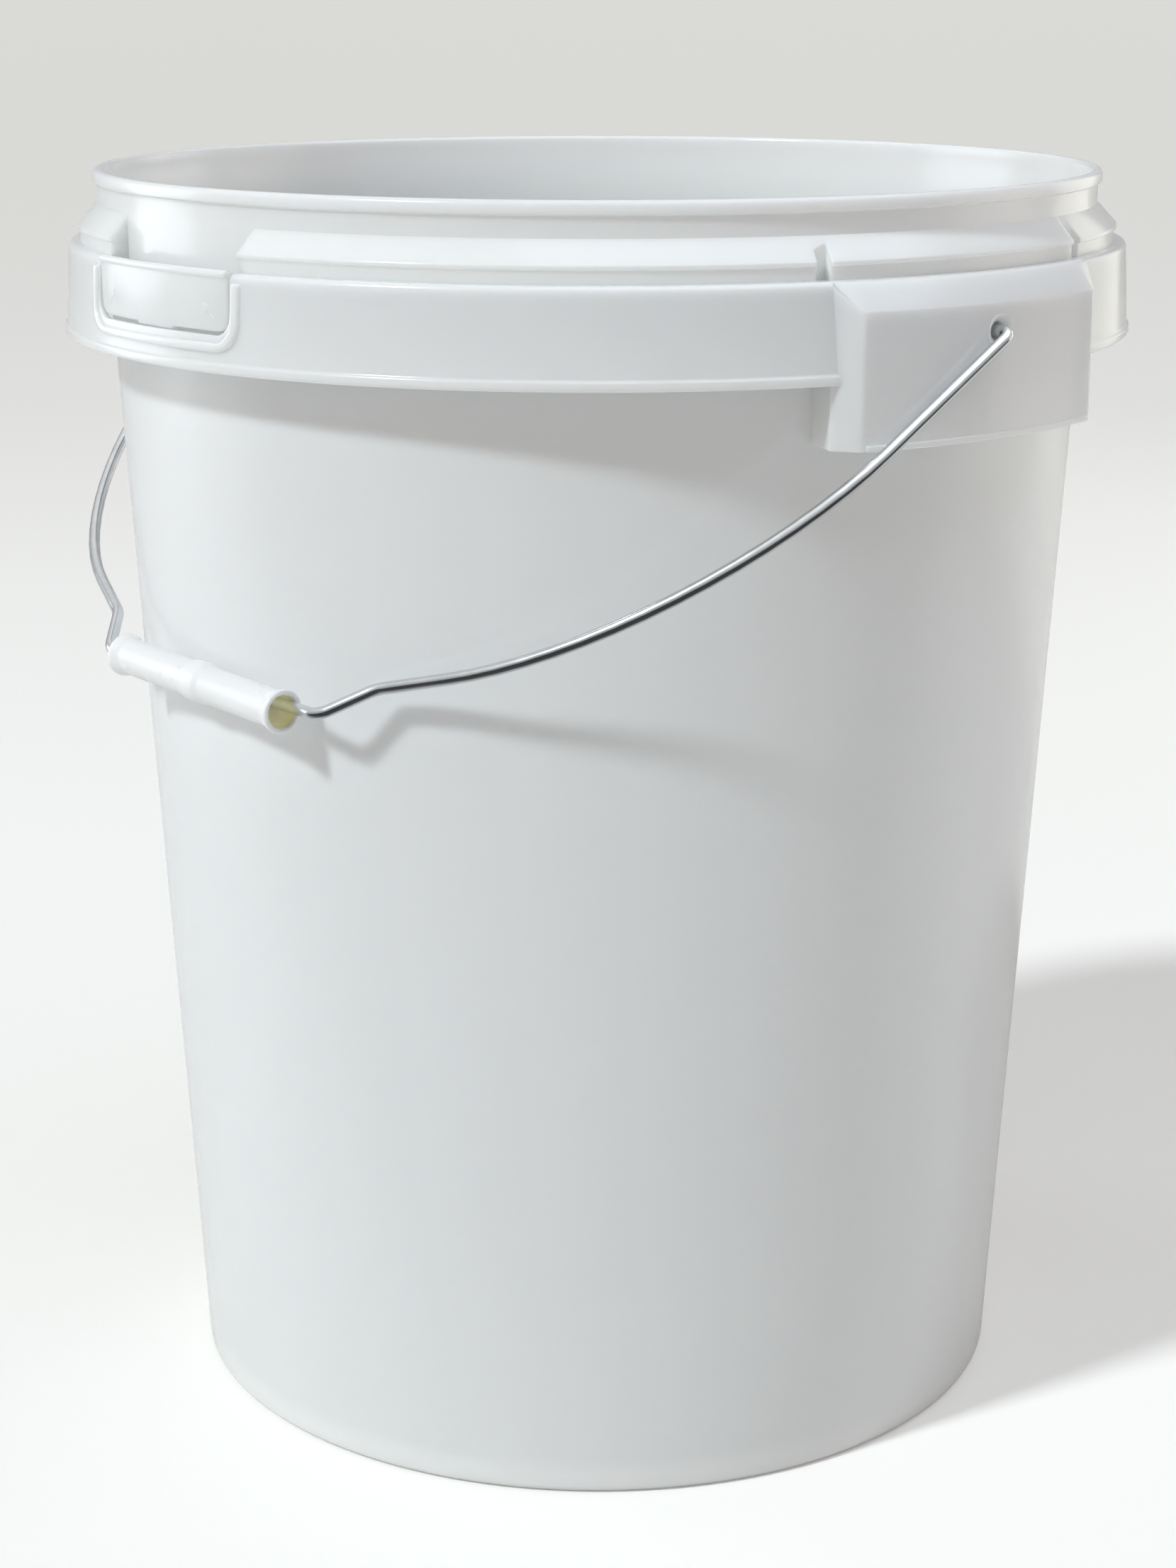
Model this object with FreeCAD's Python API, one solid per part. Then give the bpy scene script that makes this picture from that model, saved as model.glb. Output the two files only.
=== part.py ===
"""Plastic fermenting bucket with a hanging wire bail. Millimetres, +Z up.

The origin is the centre of the base. The bail's holes are on the X axis and the opening tab
faces -Y, which is also the side the bail hangs on. The bucket is one moulding, written as four
touching solids (cup, collar and two ear blocks) so that each stays a simple shape.
"""
import FreeCAD, Part
import math
import os

from FreeCAD import Vector

# ---------------------------------------------------------------- driving dimensions
HEIGHT = 436.0
RIM_RADIUS = 175.0
BASE_RADIUS = RIM_RADIUS - 26.3
CONE_RADIUS_UNDER_COLLAR = RIM_RADIUS - 3.9
WALL = 2.2
BASE_WALL = 2.8
FOOT_HEIGHT = 3.0
FOOT_WIDTH = 5.5
HEEL_RADIUS = 2.6

COLLAR_DROP = 27.0          # rim top down to the plane where the collar sits on the cup
NECK_INSET = 1.3            # rim bead to neck, radially
RING_OUT = 5.4              # rim bead to the lip under the stacking ring's slope
RING_LIP = 1.1
RING_UNDERCUT = 0.8         # lip to the ring's wall below it
BAND_TOP_OUT = 8.9          # rim bead to the band just below its rounded top
BAND_BOTTOM_OUT = 10.3
BAND_BEAD_OUT = 11.1
BAND_DROP = 55.2            # rim top down to the bottom of the band
BAND_WALL = 2.0

NOTCH_FROM = 17.7           # degrees either side of an ear
NOTCH_TO = 19.2
NOTCH_FLOOR_OUT = 0.7       # rim bead to the bottom of the notch

EAR_OUT = 15.5              # rim bead to the ear's front face
EAR_FRONT_HALF = 52.2
EAR_SIDE_HALF = 57.3
EAR_ROOT_HALF = 50.0
EAR_HEIGHT = 50.3
EAR_TOP_BEVEL = 8.6
EAR_LIP = 0.6
EAR_BAND_OVERLAP = 0.8      # degrees the band runs into the ear's side wall
EAR_SINK_DEPTH = 1.2
EAR_BOSS_DEPTH = 3.4
PIVOT_DROP = 41.7           # rim top down to the bail's pivot

TAB_HALF = 36.4
TAB_SLOT = 1.2
TAB_GAP_ANGLE = 12.1        # half the break in the stacking ring, degrees
TAB_TOP_DROP = 23.3
TAB_FOOT_DROP = 42.3
TAB_BRIDGE_HALF = 10.0
TAB_BRIDGE_GAP = 0.3
TAB_BEAD_OUT = 1.2
FRAME_RIB_WIDTH = 3.3
FRAME_RIB_OUT = 1.3
FRAME_RIB_SETBACK = 2.4     # tab's side edge to the rib's inner edge
FRAME_TOP_DROP = 27.1
FRAME_FOOT_DROP = 48.5

WIRE_RADIUS = 2.0
EAR_HOLE_PLAY = 0.9         # wire to hole, radially
BAIL_DEPTH = RIM_RADIUS + 31.2      # pivot axis to the wire's axis inside the grip
BAIL_STANDOFF = 4.7         # ear's front face to the wire's axis at the bend
BAIL_END_HEAD = 2.0
BAIL_END_GAP = 0.3

GRIP_LENGTH = 94.0
GRIP_BORE_PLAY = 3.2        # wire to bore, radially
GRIP_WALL = 1.05
GRIP_RING_OUT = 0.65        # middle ring above the tube's body
GRIP_END_OUT = 1.05         # flared ends above the tube's body
GRIP_TILT = 1.6             # degrees, a loose tube leaning on its wire
GRIP_TO_CUP = 0.35
GRIP_TO_WIRE = 0.3

# ---------------------------------------------------------------- values that follow
SPLIT_Z = HEIGHT - COLLAR_DROP
PIVOT_Z = HEIGHT - PIVOT_DROP
TAPER = (CONE_RADIUS_UNDER_COLLAR - BASE_RADIUS) / SPLIT_Z
NECK_RADIUS = RIM_RADIUS - NECK_INSET
RING_RADIUS = RIM_RADIUS + RING_OUT
BAND_TOP_RADIUS = RIM_RADIUS + BAND_TOP_OUT
BAND_BOTTOM_RADIUS = RIM_RADIUS + BAND_BOTTOM_OUT
BAND_BEAD_RADIUS = RIM_RADIUS + BAND_BEAD_OUT
BAND_BOTTOM_Z = HEIGHT - BAND_DROP
LEDGE_TOP_Z = SPLIT_Z + 2.7
LEDGE_UNDER_Z = SPLIT_Z + 0.2
EAR_FRONT_RADIUS = RIM_RADIUS + EAR_OUT
EAR_TOP_Z = LEDGE_TOP_Z - 0.4
EAR_BOTTOM_Z = EAR_TOP_Z - EAR_HEIGHT
TAB_RADIUS = BAND_TOP_RADIUS + 0.1
TAB_TOP_Z = HEIGHT - TAB_TOP_DROP
TAB_FOOT_Z = HEIGHT - TAB_FOOT_DROP
WINDOW_FOOT_Z = TAB_FOOT_Z - TAB_SLOT
EAR_HOLE_RADIUS = WIRE_RADIUS + EAR_HOLE_PLAY
EAR_SINK_RADIUS = EAR_HOLE_RADIUS + 1.9
EAR_BOSS_RADIUS = EAR_HOLE_RADIUS + 3.6
BAIL_END_HEAD_RADIUS = EAR_HOLE_RADIUS + 0.7
GRIP_BORE_RADIUS = WIRE_RADIUS + GRIP_BORE_PLAY
GRIP_RADIUS = GRIP_BORE_RADIUS + GRIP_WALL
GRIP_RING_RADIUS = GRIP_RADIUS + GRIP_RING_OUT
GRIP_END_RADIUS = GRIP_RADIUS + GRIP_END_OUT
AXIS = Vector(0, 0, 1)
ORIGIN = Vector(0, 0, 0)


def cone_radius(z):
    return BASE_RADIUS + TAPER * z


def band_radius(z):
    slope = (BAND_BOTTOM_RADIUS - BAND_TOP_RADIUS) / (LEDGE_TOP_Z - BAND_BOTTOM_Z - 5.4)
    return BAND_BOTTOM_RADIUS - slope * (z - BAND_BOTTOM_Z - 3.6)


def point(r, z):
    return Vector(r, 0, z)


def line(a, b):
    return Part.LineSegment(a, b).toShape()


def arc(a, middle, b):
    return Part.Arc(a, middle, b).toShape()


def quarter(a, b, centre):
    """The short arc from a to b about centre."""
    radius = (a - centre).Length
    middle = centre + (a - centre + b - centre).normalize() * radius
    return Part.Arc(a, middle, b).toShape()


def spun(edges):
    """The closed outline in the XZ plane, turned a full circle about Z."""
    return Part.Face(Part.Wire(edges)).revolve(ORIGIN, AXIS, 360)


def outline(points):
    return [line(a, b) for a, b in zip(points, points[1:] + points[:1])]


def sector(inner, outer, low, high, centre, start, end):
    """A ring segment between two radial planes, angles in degrees about Z."""
    ring = Part.makeCylinder(outer, high - low, Vector(0, 0, low), AXIS, end - start)
    ring = ring.cut(Part.makeCylinder(inner, high - low, Vector(0, 0, low)))
    ring.rotate(ORIGIN, AXIS, centre + start)
    return ring


def upright_plate(half, low, high, corner, deep_from, deep_to):
    """A plate across -Y between two depths, its two lower corners rounded."""
    left = Vector(-half, 0, low + corner)
    left_foot = Vector(-half + corner, 0, low)
    right_foot = Vector(half - corner, 0, low)
    right = Vector(half, 0, low + corner)
    edges = [
        line(Vector(-half, 0, high), left),
        quarter(left, left_foot, Vector(-half + corner, 0, low + corner)),
        line(left_foot, right_foot),
        quarter(right_foot, right, Vector(half - corner, 0, low + corner)),
        line(right, Vector(half, 0, high)),
        line(Vector(half, 0, high), Vector(-half, 0, high)),
    ]
    plate = Part.Face(Part.Wire(edges)).extrude(Vector(0, deep_to - deep_from, 0))
    plate.translate(Vector(0, deep_from, 0))
    return plate


def tube(inner, outer, low, high):
    whole = Part.makeCylinder(outer, high - low, Vector(0, 0, low))
    return whole.cut(Part.makeCylinder(inner, high - low, Vector(0, 0, low)))


# ---------------------------------------------------------------- cup: base and tapered wall
def make_cup():
    floor = FOOT_HEIGHT + BASE_WALL
    corner = 6.0
    foot_inner = BASE_RADIUS - HEEL_RADIUS - FOOT_WIDTH
    heel = cone_radius(HEEL_RADIUS)
    inner = cone_radius(floor + corner) - WALL
    foot_top = point(foot_inner, FOOT_HEIGHT)
    foot_edge = point(foot_inner + 0.6, 0)
    heel_foot = point(heel - HEEL_RADIUS, 0)
    heel_top = point(heel, HEEL_RADIUS)
    rim_out = point(cone_radius(SPLIT_Z), SPLIT_Z)
    rim_in = point(cone_radius(SPLIT_Z) - WALL, SPLIT_Z)
    corner_top = point(inner, floor + corner)
    corner_foot = point(inner - corner, floor)
    edges = [
        line(point(0, FOOT_HEIGHT), foot_top),
        line(foot_top, foot_edge),
        line(foot_edge, heel_foot),
        quarter(heel_foot, heel_top, point(heel - HEEL_RADIUS, HEEL_RADIUS)),
        line(heel_top, rim_out),
        line(rim_out, rim_in),
        line(rim_in, corner_top),
        quarter(corner_top, corner_foot, point(inner - corner, floor + corner)),
        line(corner_foot, point(0, floor)),
        line(point(0, floor), point(0, FOOT_HEIGHT)),
    ]
    return spun(edges)


# ---------------------------------------------------------------- ear blocks
def ear_envelope(inset):
    """The block's outside about +X, or its hollow when inset is the wall thickness."""
    front = EAR_FRONT_RADIUS - inset
    front_half = EAR_FRONT_HALF - inset
    side_half = EAR_SIDE_HALF - inset
    root_half = EAR_ROOT_HALF - inset
    root = cone_radius(EAR_BOTTOM_Z) - WALL
    side_x = math.sqrt(BAND_TOP_RADIUS ** 2 - EAR_SIDE_HALF ** 2) - inset * 0.5
    front_x = math.sqrt(front ** 2 - front_half ** 2)
    root_x = math.sqrt(root ** 2 - EAR_ROOT_HALF ** 2)
    low = EAR_BOTTOM_Z - inset
    front_right = Vector(front_x, -front_half, low)
    front_left = Vector(front_x, front_half, low)
    edges = outline([
        front_left,
        Vector(side_x, side_half, low),
        Vector(root_x, root_half, low),
        Vector(root_x, -root_half, low),
        Vector(side_x, -side_half, low),
        front_right,
    ])[:-1]
    edges.append(arc(front_right, Vector(front, 0, low), front_left))
    block = Part.Face(Part.Wire(edges)).extrude(Vector(0, 0, EAR_TOP_Z - low))
    top = EAR_TOP_Z - inset
    bevel = spun(outline([
        point(root_x * 0.5, low),
        point(EAR_FRONT_RADIUS + 1, low),
        point(EAR_FRONT_RADIUS + 1, top - EAR_TOP_BEVEL),
        point(front, top - EAR_TOP_BEVEL),
        point(BAND_TOP_RADIUS - inset, top),
        point(root_x * 0.5, top),
    ]))
    return block.common(bevel)


def make_ear(collar):
    block = ear_envelope(0)
    upright = [e for e in block.Edges if e.BoundBox.ZLength > EAR_HEIGHT / 2 and e.BoundBox.XLength < 0.01]
    front_x = max(e.BoundBox.XMin for e in upright)
    corners = [e for e in upright if e.BoundBox.XMin > front_x - 0.1]
    block = block.makeFillet(2.0, corners)
    spread = math.degrees(math.asin((EAR_FRONT_HALF - 2.0) / EAR_FRONT_RADIUS))
    lip = sector(EAR_FRONT_RADIUS - WALL, EAR_FRONT_RADIUS + EAR_LIP,
                 EAR_BOTTOM_Z, EAR_BOTTOM_Z + 2.0, 0, -spread, spread)
    outward = Vector(1, 0, 0)
    boss_from = EAR_FRONT_RADIUS - WALL - EAR_BOSS_DEPTH
    boss_length = WALL + EAR_BOSS_DEPTH - 0.6
    boss = Part.makeCylinder(EAR_BOSS_RADIUS, boss_length, Vector(boss_from, 0, PIVOT_Z), outward)
    hole = Part.makeCylinder(EAR_HOLE_RADIUS, 40, Vector(boss_from - 5, 0, PIVOT_Z), outward)
    sink_foot = Vector(EAR_FRONT_RADIUS - EAR_SINK_DEPTH, 0, PIVOT_Z)
    sink = Part.makeCone(EAR_HOLE_RADIUS, EAR_SINK_RADIUS, EAR_SINK_DEPTH, sink_foot, outward)
    ear = block.cut(ear_envelope(WALL)).fuse([lip, boss]).cut([hole, sink])
    core = Part.makeCone(BASE_RADIUS, cone_radius(HEIGHT), HEIGHT)
    return ear.cut([core, collar]).removeSplitter()


# ---------------------------------------------------------------- collar: rim, ring, ledge and hanging band
def collar_profile():
    wall_in = cone_radius(SPLIT_Z) - WALL
    step_z = HEIGHT - 12.0
    step_in = cone_radius(step_z) - WALL
    lip_round = 1.5
    rim_round = 1.7
    band_round = 1.8
    bead_z = BAND_BOTTOM_Z + 3.6
    lip_in = RIM_RADIUS - 3.7
    foot_out = BAND_BOTTOM_RADIUS - 0.2
    rim_to_neck = [
        point(RIM_RADIUS, HEIGHT - 3.6),
        point(NECK_RADIUS, HEIGHT - 4.6),
        point(NECK_RADIUS, HEIGHT - 11.3),
        point(RING_RADIUS, HEIGHT - 18.6),
        point(RING_RADIUS, HEIGHT - 18.6 - RING_LIP),
        point(RING_RADIUS - RING_UNDERCUT, HEIGHT - 18.9 - RING_LIP),
        point(RING_RADIUS - RING_UNDERCUT, LEDGE_TOP_Z),
        point(BAND_TOP_RADIUS - band_round, LEDGE_TOP_Z),
    ]
    inside_of_band = [
        point(foot_out, BAND_BOTTOM_Z),
        point(BAND_BOTTOM_RADIUS - BAND_WALL, BAND_BOTTOM_Z),
        point(BAND_TOP_RADIUS - BAND_WALL, LEDGE_UNDER_Z),
        point(cone_radius(SPLIT_Z) + 0.2, LEDGE_UNDER_Z),
        point(cone_radius(SPLIT_Z), SPLIT_Z),
        point(wall_in, SPLIT_Z),
        point(step_in, step_z),
        point(step_in + 1.2, step_z + 0.8),
        point(lip_in, HEIGHT - lip_round),
    ]
    lip_top = point(lip_in + lip_round, HEIGHT)
    rim_top = point(RIM_RADIUS - rim_round, HEIGHT)
    rim_side = point(RIM_RADIUS, HEIGHT - rim_round)
    band_side = point(BAND_TOP_RADIUS, LEDGE_TOP_Z - band_round)
    bead_top = point(BAND_BOTTOM_RADIUS, bead_z)
    band = [
        quarter(rim_to_neck[-1], band_side, point(BAND_TOP_RADIUS - band_round, LEDGE_TOP_Z - band_round)),
        line(band_side, bead_top),
        arc(bead_top, point(BAND_BEAD_RADIUS, BAND_BOTTOM_Z + 1.9), inside_of_band[0]),
    ]
    rim = [
        quarter(inside_of_band[-1], lip_top, point(lip_in + lip_round, HEIGHT - lip_round)),
        line(lip_top, rim_top),
        quarter(rim_top, rim_side, point(RIM_RADIUS - rim_round, HEIGHT - rim_round)),
        line(rim_side, rim_to_neck[0]),
    ]
    return outline(rim_to_neck)[:-1] + band + outline(inside_of_band)[:-1] + rim


def make_frame_rib():
    """The raised U round the tab, following the band's slope."""
    inner = TAB_HALF + FRAME_RIB_SETBACK
    outer = inner + FRAME_RIB_WIDTH
    low = HEIGHT - FRAME_FOOT_DROP
    top = HEIGHT - FRAME_TOP_DROP
    near = -(BAND_BEAD_RADIUS + 10)
    far = -(BAND_TOP_RADIUS - 20)
    plate = upright_plate(outer, low, top, 10.0, near, far)
    inner_low = low + FRAME_RIB_WIDTH * 0.85
    plate = plate.cut(upright_plate(inner, inner_low, top + 5, 10.0 - FRAME_RIB_WIDTH, near, far))
    outside = Part.makeCone(band_radius(low) + FRAME_RIB_OUT, band_radius(top) + FRAME_RIB_OUT,
                            top - low, Vector(0, 0, low))
    inside = Part.makeCone(band_radius(low) - 0.5, band_radius(top) - 0.5, top - low, Vector(0, 0, low))
    return plate.common(outside.cut(inside))


def make_collar():
    collar = spun(collar_profile())
    cuts = [
        sector(NECK_RADIUS, BAND_TOP_RADIUS - BAND_WALL, LEDGE_UNDER_Z - 1, HEIGHT - 8,
               -90, -TAB_GAP_ANGLE, TAB_GAP_ANGLE),
        upright_plate(TAB_HALF + TAB_SLOT, WINDOW_FOOT_Z, LEDGE_TOP_Z, 6.0,
                      -(BAND_BEAD_RADIUS + 10), -(NECK_RADIUS + 0.8)),
    ]
    notch_floor = RIM_RADIUS + NOTCH_FLOOR_OUT
    band_end = math.degrees(math.asin(EAR_SIDE_HALF / BAND_TOP_RADIUS)) - EAR_BAND_OVERLAP
    under_ledge = cone_radius(SPLIT_Z) + 1
    for ear in (0, 180):
        for start, end in ((NOTCH_FROM, NOTCH_TO), (-NOTCH_TO, -NOTCH_FROM)):
            cuts.append(sector(notch_floor, RING_RADIUS + 5, LEDGE_TOP_Z, HEIGHT - 8, ear, start, end))
        cuts.append(sector(under_ledge, BAND_BEAD_RADIUS + 5, BAND_BOTTOM_Z - 1, LEDGE_UNDER_Z,
                           ear, -band_end, band_end))
    return collar.cut(cuts).fuse(make_frame_rib()).removeSplitter()


# ---------------------------------------------------------------- opening tab
def make_tab():
    near = -(TAB_RADIUS + 10)
    far = -(TAB_RADIUS - 20)
    skin = tube(TAB_RADIUS - BAND_WALL, TAB_RADIUS, TAB_FOOT_Z - TAB_SLOT, TAB_TOP_Z)
    plate = upright_plate(TAB_HALF, TAB_FOOT_Z, TAB_TOP_Z, 4.8, near, far).common(skin)
    bridge_foot = WINDOW_FOOT_Z + TAB_BRIDGE_GAP
    bridge = upright_plate(TAB_BRIDGE_HALF, bridge_foot, TAB_TOP_Z - 2, 0.4, near, far).common(skin)
    roll = Part.makeTorus(TAB_RADIUS - 0.1, TAB_BEAD_OUT + 0.1, Vector(0, 0, TAB_TOP_Z - TAB_BEAD_OUT))
    roll = roll.common(upright_plate(TAB_HALF, TAB_FOOT_Z, TAB_TOP_Z + 3, 4.8, near, far))
    return plate.fuse([bridge, roll]).removeSplitter()


# ---------------------------------------------------------------- bail and grip
GRIP_OFFSET = GRIP_BORE_RADIUS - WIRE_RADIUS - GRIP_TO_WIRE
GRIP_LEAN = GRIP_LENGTH / 2 * math.tan(math.radians(GRIP_TILT))
GRIP_SEAT = math.sqrt(GRIP_OFFSET ** 2 - GRIP_LEAN ** 2)
REACH = cone_radius(PIVOT_Z) + GRIP_RING_RADIUS + GRIP_TO_CUP - GRIP_SEAT
BAIL_ANGLE = math.asin(REACH / (BAIL_DEPTH * math.sqrt(1 + TAPER ** 2))) - math.atan(TAPER)


def bail_point(across, along):
    """A point in the bail's own plane: across is X, along runs from the pivot towards the grip."""
    return Vector(across, -along * math.sin(BAIL_ANGLE), PIVOT_Z - along * math.cos(BAIL_ANGLE))


def rounded_path(corners):
    """Straight runs joined by tangent arcs. Each corner is (point, bend radius)."""
    edges = []
    start = corners[0][0]
    for (before, _), (here, radius), (after, _) in zip(corners, corners[1:], corners[2:]):
        into = (here - before).normalize()
        out = (after - here).normalize()
        turn = into.getAngle(out)
        run = radius * math.tan(turn / 2)
        first = here - into * run
        last = here + out * run
        inward = (out - into).normalize()
        middle = here + inward * (radius / math.cos(turn / 2) - radius)
        edges.append(line(start, first))
        edges.append(arc(first, middle, last))
        start = last
    edges.append(line(start, corners[-1][0]))
    return edges


def make_bail():
    bend = EAR_FRONT_RADIUS + BAIL_STANDOFF
    seat = GRIP_LENGTH / 2 + 14.5
    end = EAR_FRONT_RADIUS - WALL - EAR_BOSS_DEPTH - BAIL_END_GAP
    half = [
        (bail_point(end - BAIL_END_HEAD / 2, 0), 0),
        (bail_point(bend, 0), 3.4),
        (bail_point(bend - 15.2, BAIL_DEPTH * 0.7), 150.0),
        (bail_point(seat + 14.0, BAIL_DEPTH - 15.6), 11.0),
        (bail_point(seat, BAIL_DEPTH), 9.0),
    ]
    corners = half + [(Vector(-p.x, p.y, p.z), r) for p, r in reversed(half)]
    path = Part.Wire(rounded_path(corners))
    section = Part.Wire(Part.makeCircle(WIRE_RADIUS, corners[0][0], Vector(1, 0, 0)))
    wire = path.makePipeShell([section], True, False)
    heads = []
    for side in (1, -1):
        foot = Vector(side * end, 0, PIVOT_Z)
        heads.append(Part.makeCylinder(BAIL_END_HEAD_RADIUS, BAIL_END_HEAD, foot, Vector(-side, 0, 0)))
    return wire.fuse(heads)


def make_grip():
    half = GRIP_LENGTH / 2
    flare = 5.0
    ring = 3.6
    one_end = [
        (half - 0.8, GRIP_BORE_RADIUS),
        (half, GRIP_BORE_RADIUS + 0.5),
        (half, GRIP_END_RADIUS - 0.5),
        (half - 0.5, GRIP_END_RADIUS),
        (half - 1.5, GRIP_END_RADIUS),
        (half - flare, GRIP_RADIUS),
        (ring + 1.2, GRIP_RADIUS),
        (ring, GRIP_RING_RADIUS),
    ]
    other_end = [(-x, r) for x, r in reversed(one_end)]
    edges = outline([Vector(x, 0, r) for x, r in one_end + other_end])
    grip = Part.Face(Part.Wire(edges)).revolve(ORIGIN, Vector(1, 0, 0), 360)
    seat = bail_point(0, BAIL_DEPTH)
    grip.rotate(ORIGIN, Vector(0, 1, 0), GRIP_TILT)
    grip.translate(seat + Vector(0, -GRIP_SEAT, 0))
    return grip


def write(name, shape):
    solid = shape.Solids[0]
    if len(shape.Solids) != 1 or not solid.isValid():
        raise ValueError(name + " is not one valid solid")
    solid.exportStep("parts/" + name + ".step")


os.makedirs("parts", exist_ok=True)
cup = make_cup()
collar = make_collar()
right_ear = make_ear(collar)
left_ear = right_ear.copy()
left_ear.rotate(ORIGIN, AXIS, 180)
write("bucket_cup", cup)
write("bucket_collar", collar)
write("ear_block_right", right_ear)
write("ear_block_left", left_ear)
write("opening_tab", make_tab())
write("bail_wire", make_bail())
write("grip_tube", make_grip())
print("grip centre", bail_point(0, BAIL_DEPTH) + Vector(0, -GRIP_SEAT, 0))
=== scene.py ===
import math

import bmesh
import bpy
from mathutils import Matrix, Vector


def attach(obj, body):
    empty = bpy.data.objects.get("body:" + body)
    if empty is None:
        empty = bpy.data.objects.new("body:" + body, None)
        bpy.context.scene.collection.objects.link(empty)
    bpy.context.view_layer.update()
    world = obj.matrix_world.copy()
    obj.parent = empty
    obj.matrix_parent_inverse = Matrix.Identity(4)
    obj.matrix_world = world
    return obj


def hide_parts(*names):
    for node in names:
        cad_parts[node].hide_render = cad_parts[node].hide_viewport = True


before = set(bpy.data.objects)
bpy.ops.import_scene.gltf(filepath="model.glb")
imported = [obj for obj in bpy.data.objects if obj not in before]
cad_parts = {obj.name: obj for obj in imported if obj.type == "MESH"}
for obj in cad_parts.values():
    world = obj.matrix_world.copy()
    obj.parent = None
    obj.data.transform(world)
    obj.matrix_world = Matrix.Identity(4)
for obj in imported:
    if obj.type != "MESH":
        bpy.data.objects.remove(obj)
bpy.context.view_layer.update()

# Meshes are made in millimetres and scaled to metres when a piece is finished.
# ------------------------------------------------------------------ sizes, the same as the CAD's
HEIGHT = 436.0
RIM_RADIUS = 175.0
RIM_WALL = 3.7
RIM_BEAD_HEIGHT = 4.1
RIM_BEAD_UNDER = 4.6        # rim to the bead's underside at the neck
FLARE_HEIGHT = 17.0         # rim to where the inside starts to flare
BASE_RADIUS = 148.7
CONE_TOP_RADIUS = 171.1
CONE_TOP_Z = 409.0
WALL = 2.2
FLOOR_Z = 5.8
FOOT_HEIGHT = 3.0
FOOT_INNER = 140.6
NECK_RADIUS = 173.7
RING_RADIUS = 180.4
RING_EDGE_Z = 417.4
RING_LIP = 1.1
RING_UNDERCUT = 0.8
GAP_HALF = 36.4             # the break in the ring behind the tab
GAP_EDGE_ROUND = 0.5
NECK_SKIN = 0.03            # cuts stop this far outside the neck
NECK_FOOT_Z = 424.7
LEDGE_Z = 411.7
LEDGE_UNDER_Z = 409.2
BAND_TOP_RADIUS = 183.9
BAND_FOOT_RADIUS = 185.3
BAND_BEAD_RADIUS = 186.1
BAND_FOOT_Z = 380.8
BAND_WALL = 2.0
BAND_SLOPE_Z = 384.4        # where the band's slope meets its bead
BAND_SLOPE_HEIGHT = 25.5
BEAD_TOP_Z = 383.7
BEAD_FOOT_Z = 381.4
NOTCH_ANGLES = (17.7, 19.2)     # a notch's sides, degrees from the ear's middle
NOTCH_FLOOR_X = 167.4
RING_CUT_HEIGHT = HEIGHT - 8 - LEDGE_Z

EAR_FRONT_RADIUS = 190.5
EAR_FRONT_HALF = 52.2
EAR_SIDE_HALF = 57.3
EAR_ROOT_HALF = 50.0
EAR_TOP_Z = 411.6
EAR_FOOT_Z = 361.0
EAR_TOP_BEVEL = 8.6
EAR_HOLE_RADIUS = 2.9
EAR_SINK_RADIUS = 4.8
EAR_SINK_MOUTH = 5.25       # the sink's cone where it leaves the ear's front
EAR_BOSS_RADIUS = 6.5
PIVOT_Z = 394.3

TAB_HALF = 36.4
TAB_RADIUS = 184.0
TAB_TOP_Z = 412.7
TAB_FOOT_Z = 393.7
TAB_GAP_ANGLE = 12.1        # half the break in the ledge behind the tab, degrees
WINDOW_HALF = 37.6
WINDOW_FOOT_Z = 392.5
BRIDGE_HALF = 10.0

RIB_OUTER_HALF = 42.1
RIB_WIDTH = 3.3
RIB_OUT = 1.3
RIB_TOP_Z = 408.9
RIB_FOOT_Z = 387.5

WIRE_RADIUS = 2.0
BAIL_DEPTH = 206.2
BAIL_BEND_X = 195.2
BAIL_END_X = 184.6
BAIL_ANGLE = math.radians(54.747)
BAIL_HEAD_RADIUS = 3.6
BAIL_HEAD_LENGTH = 2.0
GRIP_LENGTH = 94.0
GRIP_RADIUS = 6.25
GRIP_BORE_RADIUS = 5.2
GRIP_RING_RADIUS = 6.9
GRIP_END_RADIUS = 7.3
GRIP_TILT = math.radians(1.6)
GRIP_CENTRE = Vector((0.0, -171.03, 275.37))

TURN_STEPS = 480            # facets round the bucket
WALL_ROWS = (70.0, 140.0, 210.0, 280.0, 350.0, 378.0)
EAR_FRONT_STEPS = 14        # facets in half the ear's curved front
ROUND_STEPS = 5             # facets round a moulded edge
EDGE_ROUND = 0.35           # the mould's small edge radius
SQUARE_TURN = 1.2           # radians; edges that turn more than this count as square


def cone_radius(z):
    return BASE_RADIUS + (CONE_TOP_RADIUS - BASE_RADIUS) * z / CONE_TOP_Z


def band_radius(z):
    drop = BAND_FOOT_RADIUS - BAND_TOP_RADIUS
    return BAND_FOOT_RADIUS - (z - BAND_SLOPE_Z) * drop / BAND_SLOPE_HEIGHT


# ------------------------------------------------------------------ mesh helpers
def in_scene(name, data):
    made = bpy.data.objects.new(name, data)
    bpy.context.scene.collection.objects.link(made)
    return made


def round_edges(bm, edges, radius, segments, **how):
    bmesh.ops.bevel(bm, geom=edges, affect="EDGES", offset_type="OFFSET", offset=radius,
                    segments=segments, profile=0.5, material=-1, **how)


def square_edges(bm):
    return [e for e in bm.edges if abs(e.calc_face_angle(0)) > SQUARE_TURN]


def fill_and_extrude(bm):
    """Fills a flat outline and doubles the face; returns the copy's vertices, still in place."""
    bmesh.ops.edgeloop_fill(bm, edges=bm.edges[:])
    pushed = bmesh.ops.extrude_face_region(bm, geom=bm.faces[:])
    return [v for v in pushed["geom"] if isinstance(v, bmesh.types.BMVert)]


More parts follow.
